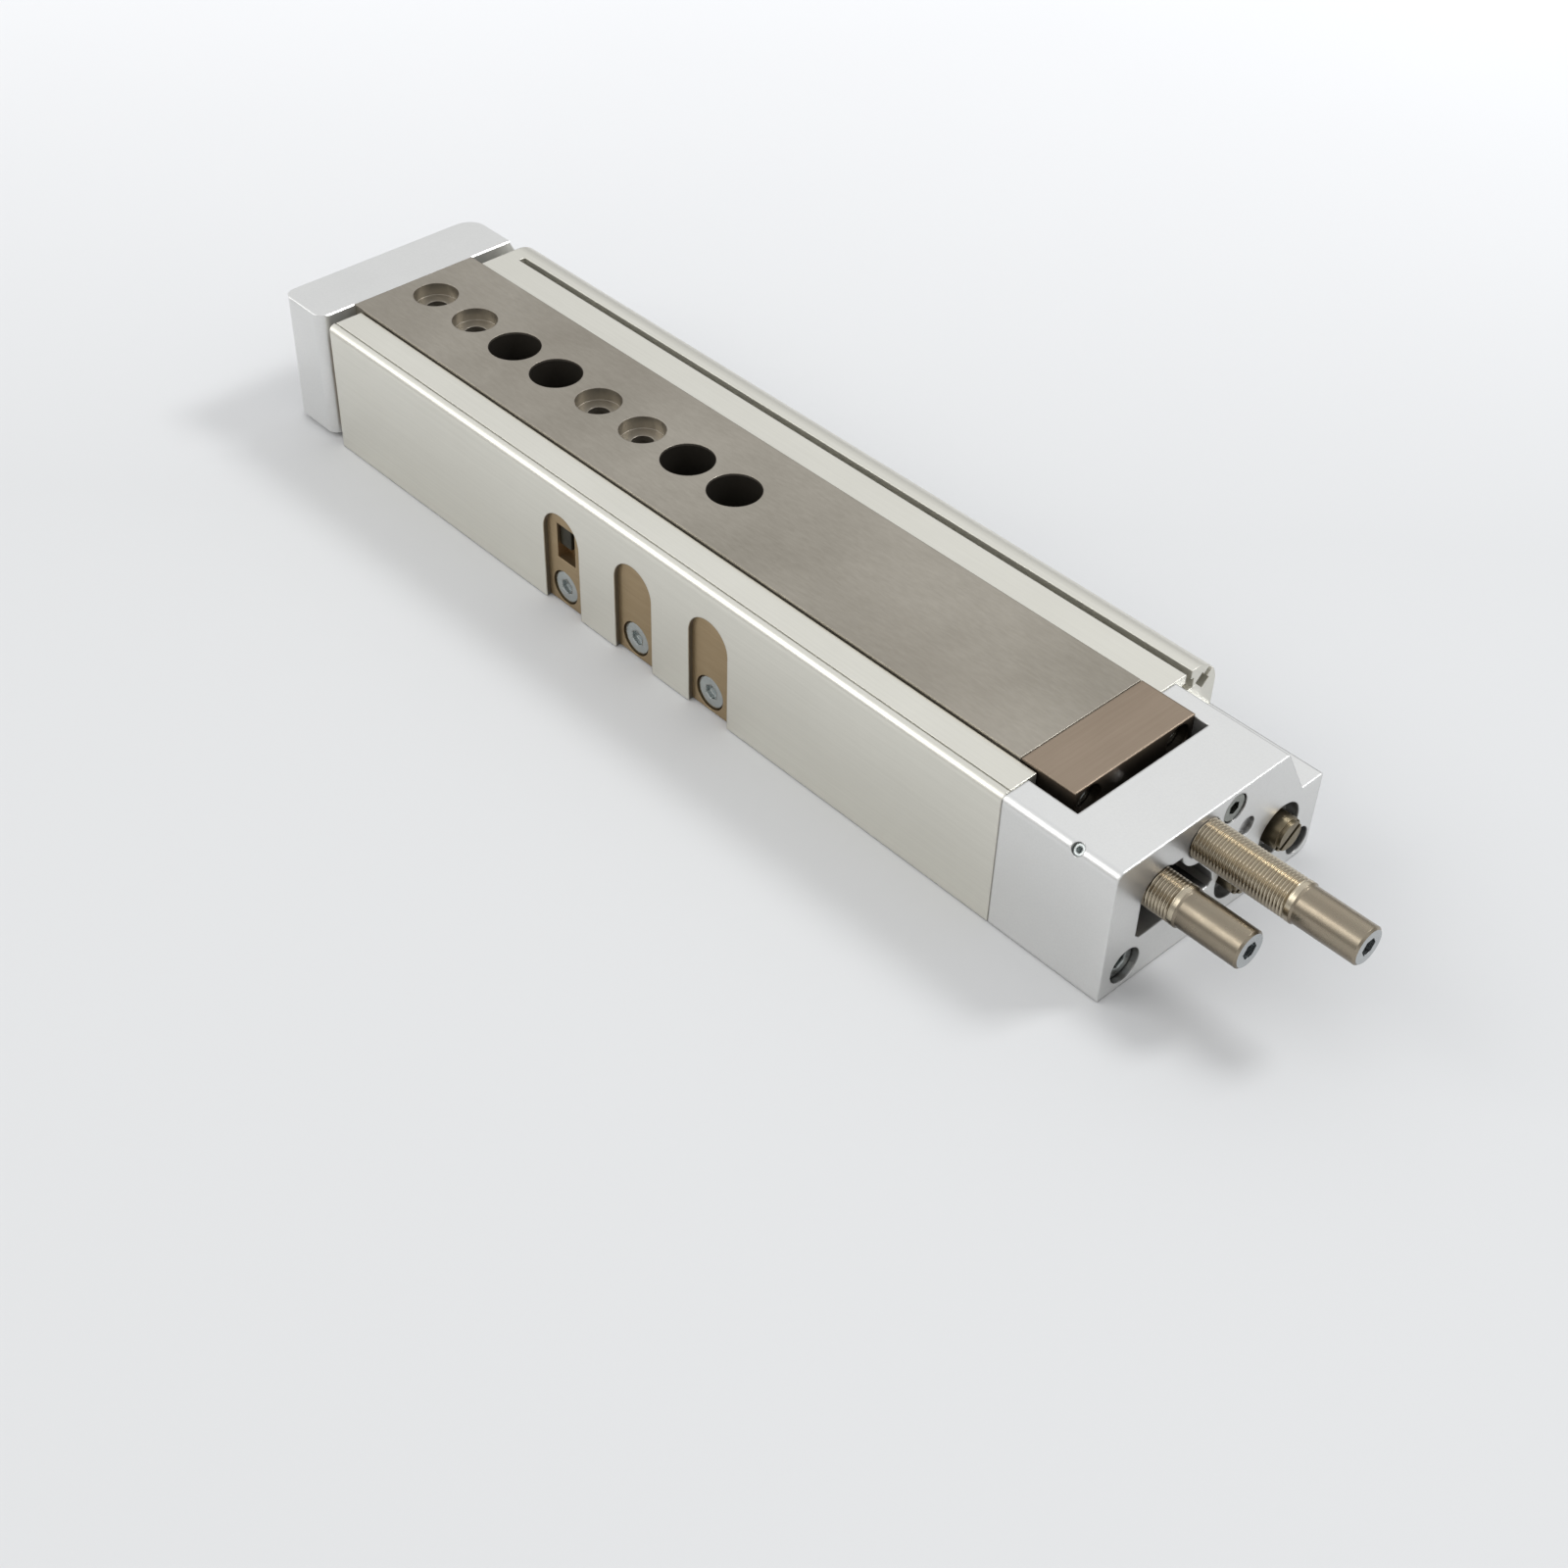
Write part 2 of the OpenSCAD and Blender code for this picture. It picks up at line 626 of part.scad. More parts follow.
module piston_groove(x, w) {
    difference() {
        bar_x(x, w, bore_y, bore_z, bore_d);
        bar_x(x - eps, w + 2 * eps, bore_y, bore_z, piston_core);
    }
}

module piston() color("#c3c3bd") difference() {
    bar_x(piston_x, piston_l, bore_y, bore_z, bore_d / 2 - 2 * run);
    for (n = [0, 1]) piston_groove(seal_x(n), seal_w);
    piston_groove(magnet_x, magnet_w);
    bar_x(piston_x - eps, rod_tail + eps, bore_y, bore_z, rod_d / 2 + fit);
}

module ring_x(x, w, r_in, r_out) {
    translate([x, bore_y, bore_z]) rotate([0, 90, 0]) rotate_extrude()
        translate([r_in, 0]) square([r_out - r_in, w]);
}

module piston_seals() color("#3a3a3a")
    for (n = [0, 1]) ring_x(seal_x(n) + fit, seal_w - 2 * fit, piston_core + fit, bore_d / 2 - run);

module piston_magnet() color("#4a4d52")
    ring_x(magnet_x + fit, magnet_w - 2 * fit, piston_core + fit, bore_d / 2 - 3 * run);

module piston_bumper() color("#2f2f2f") ring_x(piston_end, 0.7, 1.2, bore_d / 2 - 1.5);

module rod_bearing() color("#c9a24a") difference() {
    bar_x(bearing_x, bearing_l, bore_y, bore_z, bore_d / 2 - fit);
    bar_x(bearing_x - eps, bearing_l + 2 * eps, bore_y, bore_z, rod_d / 2 + run);
    bar_x(bearing_x + bearing_l - seal_l, seal_l + eps, bore_y, bore_z, seal_r + fit);
}

module rod_seal() color("#2f2f2f")
    ring_x(bearing_x + bearing_l - seal_l + fit, seal_l - fit, rod_d / 2 + run, seal_r);

module bearing_ring() color("#3d4044")
    ring_x(ring_x + fit, ring_t - 2 * fit, rod_d / 2 + 1, bore_d / 2 + 0.35);

module cap_profile() {
    difference() {
        polygon([[near_y, 0], [far_y, 0], [far_y, wing_h], [far_y - 4.3, wing_h],
            [channel_y + shoulder_w, housing_h], [near_y, housing_h]]);
        corner_waste(near_y, housing_h, -90, near_edge_r);
        corner_waste(far_y, 0, 90, near_edge_r);
    }
}

// Opening for the moving absorber, clear of the boss around the fixed one
module absorber_pocket() {
    difference() {
        union() {
            polygon([[relief_y, extend_z], [relief_y, 7.8], [relief_y + 0.8, 7],
                [pocket_y - 0.7, 7], [pocket_y, 7.7], [pocket_y - 0.4, 9.2],
                [retract_y - 2.9, retract_z - 0.9], [extend_y, extend_z + absorber_r]]);
            translate([extend_y, extend_z]) circle(absorber_r + absorber_side);
        }
        translate([retract_y, retract_z]) circle(boss_r);
    }
}
boss_r = 4;
pocket_y = retract_y + 3.7;
notch_y = -channel_y - 1.7;
notch_far = table_w / 2 + 0.1;

module end_cap() color(aluminium) difference() {
    union() {
        along_x(house_end, cap_l) cap_profile();
        bar_x(house_end - spigot_l, spigot_l + eps, bore_y, bore_z, bore_d / 2 - fit);
    }
    // Notch around the stop plate
    box(house_end - eps, notch_y, channel_z - rest_gap, notch_end - house_end + eps,
        notch_far - notch_y, housing_h);
    // Fine open joint against the housing
    box(house_end - eps, near_y - eps, -eps, seam_w + eps, seam_w + eps, housing_h + 1);
    box(house_end - eps, near_y, housing_h - seam_w, seam_w + eps, far_y - near_y, 1);
    along_x(house_end - eps, cap_l + 2 * eps) absorber_pocket();
    // Thread of the fixed absorber and its clamp screw
    bar_x(house_end, cap_l + eps, retract_y, retract_z, absorber_r + fit);
    translate([cap_end - clamp_seat, clamp_y, clamp_z]) mirror([1, 0, 0])
        screw_room(m25, cap_wall, clamp_seat + eps);
    bar_x(cap_end - vent_depth, vent_depth + eps, vent_y, vent_z, vent_r);
    // Screws into the housing
    place_cap_screw(cap_screw_near) screw_room(m3, cap_screw_grip + eps, cap_l - cap_screw_grip + eps);
    place_cap_screw(cap_screw_far) screw_room(m25, cap_screw_grip + eps, cap_l - cap_screw_grip + eps);
    // Lock screw across the near top edge
    place_lock() translate([0, 0, -lock_depth]) cylinder(h = lock_depth + 2, r = lock_r);
    // Ports with sunk faces
    for (p = ports) {
        bar_x(cap_end - port_face_depth, port_face_depth + eps, p[0], p[1], port_face_r);
        bar_x(cap_end - port_face_depth - port_tap_l, port_tap_l + eps, p[0], p[1], port_tap_r);
    }
    // Ways to the bore and to the duct
    bar_x(house_end - spigot_l - eps, cap_l + spigot_l - port_tap_l,
        bore_y - 0.9, bore_z + 0.2, port_duct_r);
    bar_x(house_end - eps, cap_l - port_face_depth - port_tap_l + 2, duct_y, duct_z, duct_r);
    translate([cap_end - port_face_depth - port_tap_l + 1, duct_y, duct_z])
        cylinder(h = ports[1][1] - duct_z, r = duct_r);
    // Seal groove in the spigot
    difference() {
        bar_x(house_end - spigot_l + 1, seal_cord, bore_y, bore_z, bore_d);
        bar_x(house_end - spigot_l + 1 - eps, seal_cord + 2 * eps, bore_y, bore_z, bore_d / 2 - seal_cord);
    }
}

module cap_seal() color("#2f2f2f")
    translate([house_end - spigot_l + 1 + seal_cord / 2, bore_y, bore_z]) rotate([0, 90, 0])
        rotate_extrude() translate([bore_d / 2 - seal_cord / 2, 0]) circle(seal_cord / 2 - fit);

module place_cap_screw(p) {
    translate([house_end + cap_screw_grip, p[0], p[1]]) mirror([1, 0, 0]) children();
}

module end_cap_screws() color(zinc) {
    place_cap_screw(cap_screw_near) cap_screw(m3, cap_screw_grip + cap_screw_in);
    place_cap_screw(cap_screw_far) cap_screw(m25, cap_screw_grip + cap_screw_in);
}

// Absorber sleeve along +X from its plunger end: thread, smooth end, key socket
module absorber(x, y, z) {
    thread_l = absorber_l - absorber_smooth_l;
    translate([x, y, z]) rotate([0, 90, 0]) difference() {
        rotate_extrude() polygon([[0, 0], [absorber_r - 0.4, 0], [absorber_r, 0.4],
            [absorber_r, thread_l - 0.3], [absorber_end_d / 2, thread_l],
            [absorber_end_d / 2, absorber_l - tip_bevel], [absorber_end_d / 2 - tip_bevel, absorber_l],
            [0, absorber_l]]);
        translate([0, 0, -eps]) cylinder(h = plunger_in + plunger_out + 1, d = plunger_d + 2 * run);
        translate([0, 0, absorber_l - 2.2]) cylinder(h = 3, d = hex_key_d, $fn = 6);
    }
}

module plunger(x, y, z) {
    translate([x - plunger_out, y, z]) rotate([0, 90, 0]) rotate_extrude()
        polygon([[0, 0], [plunger_d / 2 - 0.3, 0], [plunger_d / 2, 0.3],
            [plunger_d / 2, plunger_out + plunger_in - 1], [0, plunger_out + plunger_in - 1]]);
}

module retract_absorber() color(nickel) absorber(retract_x, retract_y, retract_z);
module retract_plunger() color(zinc) plunger(retract_x, retract_y, retract_z);
module extend_absorber() color(nickel) absorber(extend_x, extend_y, extend_z);
module extend_plunger() color(zinc) plunger(extend_x, extend_y, extend_z);

module absorber_screw() color(zinc) translate([cap_end - clamp_seat, clamp_y, clamp_z])
    mirror([1, 0, 0]) cap_screw(m25, cap_wall - clamp_seat + clamp_tip);

// Blanking plug with a round slotted head that stands out of the port
module port_plug(p) color("#a08a5c") difference() {
    union() {
        bar_x(cap_end - port_face_depth - plug_l, plug_l + eps, p[0], p[1], port_tap_r - fit);
        bar_x(cap_end - port_face_depth, port_face_depth + plug_out - 0.5, p[0], p[1], plug_r);
        bar_x(cap_end + plug_out - 0.5 - eps, 0.5 + eps, p[0], p[1], plug_r - 0.35);
    }
    translate([cap_end + plug_out, p[0], p[1]]) rotate([plug_turn, 0, 0])
        box(-plug_slot_depth, -plug_r - 1, -plug_slot_w / 2,
            plug_slot_depth + 1, 2 * plug_r + 2, plug_slot_w);
}

module rear_port_plug() port_plug(ports[0]);
module front_port_plug() port_plug(ports[1]);

module place_lock() {
    translate([lock_x, near_y + lock_in, housing_h - lock_in]) rotate([45, 0, 0]) children();
}

module lock_screw() color("#55585c") place_lock() translate([0, 0, -lock_sunk - lock_l]) difference() {
    cylinder(h = lock_l, r = lock_r - fit);
    translate([0, 0, lock_l / 2]) cylinder(h = lock_l, r = lock_r / 2, $fn = 6);
}

housing();
end_cap();
end_cap_screws();
guide_rail_near();
guide_rail_far();
near_rail_screws();
far_rail_screws();
fixed_stop();
ball_cage_near();
ball_cage_far();
balls_near();
balls_far();
slide_table();
stop_plate();
stop_plate_screws();
yoke_plate();
yoke_screws();
piston_rod();
rod_screw();
piston();
piston_seals();
piston_magnet();
piston_bumper();
rod_bearing();
rod_seal();
bearing_ring();
cap_seal();
retract_absorber();
retract_plunger();
extend_absorber();
extend_plunger();
absorber_screw();
rear_port_plug();
front_port_plug();
lock_screw();
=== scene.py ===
"""Looks for the pneumatic slide table: materials, thread detail, floor, light and camera."""
import json
import math

import bmesh
import bpy
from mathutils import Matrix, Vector


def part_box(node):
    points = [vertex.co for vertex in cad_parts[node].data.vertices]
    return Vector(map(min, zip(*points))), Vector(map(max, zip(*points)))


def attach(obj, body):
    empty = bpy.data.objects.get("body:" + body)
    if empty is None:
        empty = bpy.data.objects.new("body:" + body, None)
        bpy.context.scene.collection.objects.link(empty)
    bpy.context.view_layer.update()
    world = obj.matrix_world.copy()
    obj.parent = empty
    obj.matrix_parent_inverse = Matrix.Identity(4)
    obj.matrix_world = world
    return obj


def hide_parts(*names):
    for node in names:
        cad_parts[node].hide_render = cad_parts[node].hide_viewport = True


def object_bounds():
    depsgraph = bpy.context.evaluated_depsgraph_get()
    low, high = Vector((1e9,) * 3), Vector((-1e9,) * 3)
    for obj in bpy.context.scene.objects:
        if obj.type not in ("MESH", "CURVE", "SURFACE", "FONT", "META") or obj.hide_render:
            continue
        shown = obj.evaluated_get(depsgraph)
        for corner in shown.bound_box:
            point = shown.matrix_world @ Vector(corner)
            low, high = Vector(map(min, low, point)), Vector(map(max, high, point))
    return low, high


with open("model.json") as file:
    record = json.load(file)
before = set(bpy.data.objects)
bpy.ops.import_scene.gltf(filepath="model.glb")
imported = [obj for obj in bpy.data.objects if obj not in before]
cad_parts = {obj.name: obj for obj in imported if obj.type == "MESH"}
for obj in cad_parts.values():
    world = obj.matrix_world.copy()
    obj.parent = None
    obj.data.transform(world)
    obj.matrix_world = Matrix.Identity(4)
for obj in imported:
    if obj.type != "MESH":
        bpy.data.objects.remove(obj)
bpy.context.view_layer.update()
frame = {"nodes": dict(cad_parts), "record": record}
nodes = frame["nodes"]
slots = {part["node"]: part["material_slot"] for part in frame["record"]["subparts"]}


# Materials

EVEN = (1, 1, 1)         # grain with no direction
ALONG = (0.02, 1, 1)     # grain drawn out along the travel
ACROSS = (1, 0.03, 1)    # grain across it
# Colour of the painted shade in hollows
HOLLOW_SHADE = (0.02, 0.018, 0.015)
EDGE_SAMPLES = 6
HOLLOW_SAMPLES = 8


def material(name):
    mat = bpy.data.materials.new(name)
    mat.use_nodes = True
    return mat, mat.node_tree, mat.node_tree.nodes["Principled BSDF"]


def new_node(tree, kind, inputs=None, **settings):
    node = tree.nodes.new("ShaderNode" + kind)
    for key, value in settings.items():
        setattr(node, key, value)
    for key, value in (inputs or {}).items():
        node.inputs[key].default_value = value
    return node


def place(tree, space="Object"):
    """The X, Y and Z of the shaded point."""
    where = new_node(tree, "TexCoord")
    parts = new_node(tree, "SeparateXYZ")
    tree.links.new(where.outputs[space], parts.inputs["Vector"])
    return parts.outputs


def noise(tree, scale, stretch=EVEN, detail=4.0, rough=0.55, offset=(0, 0, 0)):
    """Noise in object space, drawn out along an axis where stretch is below 1."""
    where = new_node(tree, "TexCoord")
    mapping = new_node(tree, "Mapping", {"Scale": stretch, "Location": offset})
    texture = new_node(tree, "TexNoise", {"Scale": scale, "Detail": detail, "Roughness": rough})
    tree.links.new(where.outputs["Object"], mapping.inputs["Vector"])
    tree.links.new(mapping.outputs["Vector"], texture.inputs["Vector"])
    return texture.outputs["Fac"]


def remap(tree, value, low, high, to_low, to_high):
    node = new_node(tree, "MapRange", {"From Min": low, "From Max": high,
                                       "To Min": to_low, "To Max": to_high})
    tree.links.new(value, node.inputs["Value"])
    return node.outputs["Result"]


def ramp(tree, value, stops):
    node = new_node(tree, "ValToRGB")
    elements = node.color_ramp.elements
    while len(elements) < len(stops):
        elements.new(0.5)
    for element, (place, colour) in zip(elements, stops):
        element.position = place
        element.color = (*colour, 1)
    tree.links.new(value, node.inputs["Fac"])
    return node.outputs["Color"]


def mix_colour(tree, under, colour, mask):
    """The colour underneath, and another over it where the mask is 1."""
    node = new_node(tree, "Mix", data_type="RGBA")
    factor, first, second = node.inputs[0], node.inputs[6], node.inputs[7]
    tree.links.new(under, first)
    second.default_value = (*colour, 1)
    tree.links.new(mask, factor)
    return node.outputs[2]


def combine(tree, a, b, operation):
    node = new_node(tree, "Math", operation=operation)
    for socket, value in ((node.inputs[0], a), (node.inputs[1], b)):
        if isinstance(value, bpy.types.NodeSocket):
            tree.links.new(value, socket)
        else:
            socket.default_value = value
    return node.outputs[0]


def product(tree, value, *others):
    for other in others:
        value = combine(tree, value, other, "MULTIPLY")
    return value


def add_bump(tree, shader, height, strength, distance, edge=0.0):
    """Bump from a height, over edges softened by a small radius."""
    bump = new_node(tree, "Bump", {"Strength": strength, "Distance": distance})
    tree.links.new(height, bump.inputs["Height"])
    if edge:
        bevel = new_node(tree, "Bevel", {"Radius": edge}, samples=EDGE_SAMPLES)
        tree.links.new(bevel.outputs["Normal"], bump.inputs["Normal"])
    tree.links.new(bump.outputs["Normal"], shader.inputs["Normal"])


def worn_metal(name, colour, dark, metallic, rough, grain, grain_scale, mottle,
               spread=0.35, edge=0.00018, bump=0.08, stain=0.0, stain_colour=None, streaks=0.5):
    """A metal whose colour, gloss and grain vary: grain at grain_scale, patches at mottle."""
    mat, tree, shader = material(name)
    fine = noise(tree, grain_scale, grain, 6.0, 0.6)
    patches = noise(tree, mottle, EVEN, 5.0, 0.6, (0.3, 0.1, 0.7))
    both = combine(tree, product(tree, fine, streaks), product(tree, patches, 1 - streaks), "ADD")
    tint = ramp(tree, both, [(0.5 - spread, dark), (0.5 + spread, colour)])
    if stain:
        spots = noise(tree, mottle * 0.4, EVEN, 8.0, 0.65, (1.7, 0.4, 0.2))
        tint = mix_colour(tree, tint, stain_colour, remap(tree, spots, 0.52, 0.72, 0.0, stain))
    tree.links.new(tint, shader.inputs["Base Color"])
    tree.links.new(remap(tree, both, 0.3, 0.7, rough + 0.07, rough - 0.06), shader.inputs["Roughness"])
    shader.inputs["Metallic"].default_value = metallic
    add_bump(tree, shader, fine, bump, 0.0001, edge)
    return mat


def overlay(mat, colour, mask):
    """Lay a colour over a material's own where the mask is 1."""
    tree = mat.node_tree
    socket = tree.nodes["Principled BSDF"].inputs["Base Color"]
    tree.links.new(mix_colour(tree, socket.links[0].from_socket, colour, mask), socket)


def paint_hollow_shade(mat, reach, unshaded_openness, deep, amount, colour=HOLLOW_SHADE, local=True, only=1.0):
    """Painted shade, darkening hollows where little light reaches: none from the first openness
    threshold, most from the second (deep).
    """
    tree = mat.node_tree
    hollow = new_node(tree, "AmbientOcclusion", {"Distance": reach},
                      samples=HOLLOW_SAMPLES, only_local=local)
    shade_amount = remap(tree, hollow.outputs["AO"], unshaded_openness, deep, 0.0, amount)
    overlay(mat, colour, product(tree, shade_amount, only))


def hole_distance(tree, first, second, every):
    """Distance from upright hole axes on Y = 0: two along X, and again each `every` further on; and Z."""
    spot = place(tree)
    middle = (first + second) / 2
    folded = new_node(tree, "Math", {1: middle + every / 2, 2: middle - every / 2}, operation="WRAP")
    tree.links.new(spot["X"], folded.inputs[0])
    away = new_node(tree, "Math", operation="ABSOLUTE")
    tree.links.new(combine(tree, folded.outputs[0], middle, "SUBTRACT"), away.inputs[0])
    aside = combine(tree, away.outputs[0], (second - first) / 2, "SUBTRACT")
    square = combine(tree, product(tree, aside, aside), product(tree, spot["Y"], spot["Y"]), "ADD")
    return combine(tree, square, 0.5, "POWER"), spot["Z"]


def rubber(name, colour):
    mat, tree, shader = material(name)
    fine = noise(tree, 1400.0)
    tree.links.new(ramp(tree, fine, [(0.3, tuple(c * 0.7 for c in colour)), (0.7, colour)]),
                   shader.inputs["Base Color"])
    shader.inputs["Roughness"].default_value = 0.55
    add_bump(tree, shader, fine, 0.15, 0.00005)
    return mat


anodised = worn_metal("anodised_aluminium", (0.78, 0.765, 0.695), (0.68, 0.665, 0.60), 0.85, 0.34,
                      ALONG, 2600.0, 45.0, edge=0.00022, bump=0.015)
cast_face = worn_metal("bead_blasted_aluminium", (0.80, 0.80, 0.785), (0.70, 0.70, 0.69), 0.85, 0.34,
                       EVEN, 3200.0, 60.0, edge=0.0004, bump=0.10)
yoke_face = worn_metal("bead_blasted_yoke", (0.80, 0.80, 0.785), (0.70, 0.70, 0.69), 0.85, 0.34,
                       EVEN, 3200.0, 60.0, edge=0.00008, bump=0.10)
table_steel = worn_metal("ground_table_steel", (0.445, 0.41, 0.352), (0.29, 0.265, 0.22), 0.9, 0.38,
                         (0.25, 1, 1), 2200.0, 30.0, spread=0.22, edge=0.0002, bump=0.04, stain=0.45,
                         stain_colour=(0.30, 0.265, 0.22), streaks=0.3)
rail_steel = worn_metal("brown_rail_steel", (0.44, 0.33, 0.20), (0.32, 0.235, 0.13), 0.9, 0.38,
                        (0.1, 1, 1), 2200.0, 70.0, edge=0.00015, bump=0.05, stain=0.3,
                        stain_colour=(0.24, 0.19, 0.14))
plate_steel = worn_metal("brown_plate_steel", (0.37, 0.295, 0.225), (0.27, 0.21, 0.155), 0.9, 0.40,
                         ACROSS, 2200.0, 60.0, edge=0.0004, bump=0.04)
zinc = worn_metal("zinc_plating", (0.56, 0.59, 0.58), (0.38, 0.41, 0.41), 1.0, 0.20,
                  EVEN, 1500.0, 300.0, edge=0.00045, bump=0.3)
dull_screw = worn_metal("oiled_screw_steel", (0.33, 0.34, 0.31), (0.20, 0.21, 0.19), 1.0, 0.25,
                        EVEN, 1500.0, 300.0, edge=0.0001, bump=0.05)
nickel = worn_metal("bright_nickel", (0.37, 0.32, 0.245), (0.28, 0.24, 0.18), 1.0, 0.28,
                    (0.3, 1, 1), 2500.0, 130.0, edge=0.00005, bump=0.01, stain=0.3,
                    stain_colour=(0.30, 0.23, 0.16))
thread_nickel = worn_metal("nickel_thread", (0.62, 0.55, 0.425), (0.48, 0.42, 0.315), 1.0, 0.24,
                           EVEN, 1500.0, 200.0, edge=0.0, bump=0.01)
chrome = worn_metal("hard_chrome", (0.74, 0.75, 0.76), (0.64, 0.65, 0.66), 1.0, 0.12,
                    (0.1, 1, 1), 1200.0, 100.0, edge=0.00005, bump=0.02)
brass = worn_metal("cage_brass", (0.60, 0.47, 0.24), (0.45, 0.34, 0.16), 1.0, 0.3,
                   ALONG, 1500.0, 120.0, edge=0.00005, bump=0.04)
plug_brass = worn_metal("dull_plug_brass", (0.30, 0.255, 0.17), (0.17, 0.14, 0.095), 1.0, 0.33,
                        EVEN, 1500.0, 260.0, edge=0.0001, bump=0.06)
bronze = worn_metal("bearing_bronze", (0.52, 0.37, 0.18), (0.38, 0.26, 0.12), 1.0, 0.35,
                    EVEN, 1500.0, 200.0)
turned = worn_metal("turned_aluminium", (0.70, 0.70, 0.68), (0.60, 0.60, 0.58), 1.0, 0.3,
                    ACROSS, 2000.0, 100.0)
black_steel = worn_metal("black_oxide", (0.055, 0.052, 0.036), (0.03, 0.028, 0.02), 0.8, 0.42,
                         EVEN, 1500.0, 300.0)
# A darker copy of the thread's nickel for the roots: painted shade in the thread's grooves
thread_root_shade = worn_metal("dark_thread_root", (0.42, 0.36, 0.27), (0.26, 0.215, 0.155), 1.0, 0.3,
                         EVEN, 1500.0, 300.0, edge=0.0, bump=0.01)
tip_steel = worn_metal("turned_tip_steel", (0.52, 0.54, 0.54), (0.38, 0.40, 0.41), 1.0, 0.25,
                       EVEN, 1500.0, 300.0, edge=0.00005, bump=0.03)
magnet = worn_metal("bonded_magnet", (0.10, 0.10, 0.11), (0.07, 0.07, 0.08), 0.2, 0.6,
                    EVEN, 1800.0, 300.0)
black_rubber = rubber("black_rubber", (0.03, 0.03, 0.03))
# Painted shade in hollows and close gaps: the cap's cavities, the yoke's gap to the housing, the stop
# plate in the cap's slot, and the absorber sleeves' undersides towards the floor and cap
paint_hollow_shade(cast_face, 0.010, 0.7, 0.3, 0.92)
paint_hollow_shade(yoke_face, 0.006, 0.5, 0.1, 0.8)
paint_hollow_shade(plate_steel, 0.005, 0.75, 0.35, 0.9, local=False)
paint_hollow_shade(nickel, 0.03, 0.85, 0.55, 0.8, (0.10, 0.08, 0.06), local=False)
paint_hollow_shade(thread_nickel, 0.03, 0.66, 0.34, 0.8, (0.12, 0.095, 0.07), local=False)

# Painted shade in the housing's hollows, but not in its sensor slots, which lie past SLOT_SIDE
SLOT_SIDE = 0.0165
near_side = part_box("housing")[0].y
tree = anodised.node_tree
spot = place(tree)
paint_hollow_shade(anodised, 0.006, 0.5, 0.1, 0.45, only=combine(tree, spot["Y"], SLOT_SIDE, "LESS_THAN"))

# Shadowed cut edges of the side windows, in a band behind the near side and under WINDOW_TOP
EDGE_FROM, EDGE_TO = 0.0002, 0.001
WINDOW_TOP = 0.0175
depth = combine(tree, spot["Y"], near_side, "SUBTRACT")
overlay(anodised, (0.09, 0.08, 0.065),
        product(tree, combine(tree, depth, EDGE_FROM, "GREATER_THAN"),
                combine(tree, depth, EDGE_TO, "LESS_THAN"),
                combine(tree, spot["Z"], WINDOW_TOP, "LESS_THAN"), 0.85))

# The table's holes: dark unlit walls in the wide ones, thread rings in the small ones
ACCESS_HOLES = (0.020, 0.030)
LOCATING_HOLES = (0.0, 0.010)
HOLES_REPEAT = 0.040
ACCESS_REACH = 0.0043    # a little past the wide holes' wall
TAP_REACH = 0.0018       # a little past the thread's wall
RIM = 0.0004             # the lit edge at the top of a wide hole
COUNTERBORE = 0.0022     # to just below the locating counterbore's seat
TAP_PITCH = 0.0007
RING_HEIGHT = 12.0       # in the bump's own units
table_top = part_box("slide_table")[1].z
tree = table_steel.node_tree
away, height = hole_distance(tree, *ACCESS_HOLES, HOLES_REPEAT)
below = combine(tree, height, table_top - RIM, "LESS_THAN")
overlay(table_steel, (0.14, 0.125, 0.105),
        product(tree, combine(tree, away, ACCESS_REACH, "LESS_THAN"), below))
away, height = hole_distance(tree, *LOCATING_HOLES, HOLES_REPEAT)
tapped = product(tree, combine(tree, away, TAP_REACH, "LESS_THAN"),
                 combine(tree, height, table_top - COUNTERBORE, "LESS_THAN"))
turns = product(tree, height, 2 * math.pi / TAP_PITCH)
rings = product(tree, combine(tree, turns, 0.0, "SINE"), tapped, RING_HEIGHT)
bump = tree.nodes["Bump"]
tree.links.new(combine(tree, bump.inputs["Height"].links[0].from_socket, rings, "ADD"),
               bump.inputs["Height"])

slot_material = {
    "anodised_aluminium": anodised, "table_steel": table_steel, "rail_steel": rail_steel,
    "zinc_steel": zinc, "nickel_plate": nickel, "bright_steel": chrome, "ball_steel": chrome,
    "cage_brass": brass, "black_rubber": black_rubber, "piston_aluminium": turned,
    "magnet_grey": magnet, "bronze": bronze, "black_steel": black_steel, "brass_plug": plug_brass,
}
node_material = {"end_cap": cast_face, "yoke_plate": yoke_face, "stop_plate": plate_steel,
                 "fixed_stop": black_steel, "absorber_screw": dull_screw, "lock_screw": zinc}
for name, obj in nodes.items():
    chosen = node_material.get(name) or slot_material[slots[name]]
    for slot in obj.material_slots:
        slot.material = chosen


# Absorber sleeves with their fine thread, where the CAD sleeve is a plain cylinder

AROUND = 48              # points in each ring
STEPS = 8                # rings to a turn of thread
PITCH = 0.0005
THREAD_DEPTH = 0.00025
THREAD_LENGTH = 0.0245
RUN_OUT = 0.0006         # plain length before the smooth end
END_CHAMFER = 0.0004
SMOOTH_RADIUS = 0.0027
SMOOTH_CHAMFER = 0.0003
SHARP_ANGLE = math.radians(35)
FLANK = 1.25             # steepness of the thread's flanks; above 1 leaves a flat root
ROOT_FROM = 0.8          # share of the thread's depth from which it takes the painted shade of the root
BORE_RADIUS = 0.00125
BORE_DEPTH = 0.01165
KEY_RADIUS = 0.0013      # to the corners of the hexagon
KEY_DEPTH = 0.0014
SLEEVE_METALS = (nickel, thread_nickel, thread_root_shade, tip_steel)
CREST, ROOT, END = 1, 2, 3             # places among the metals; the first is the smooth end's


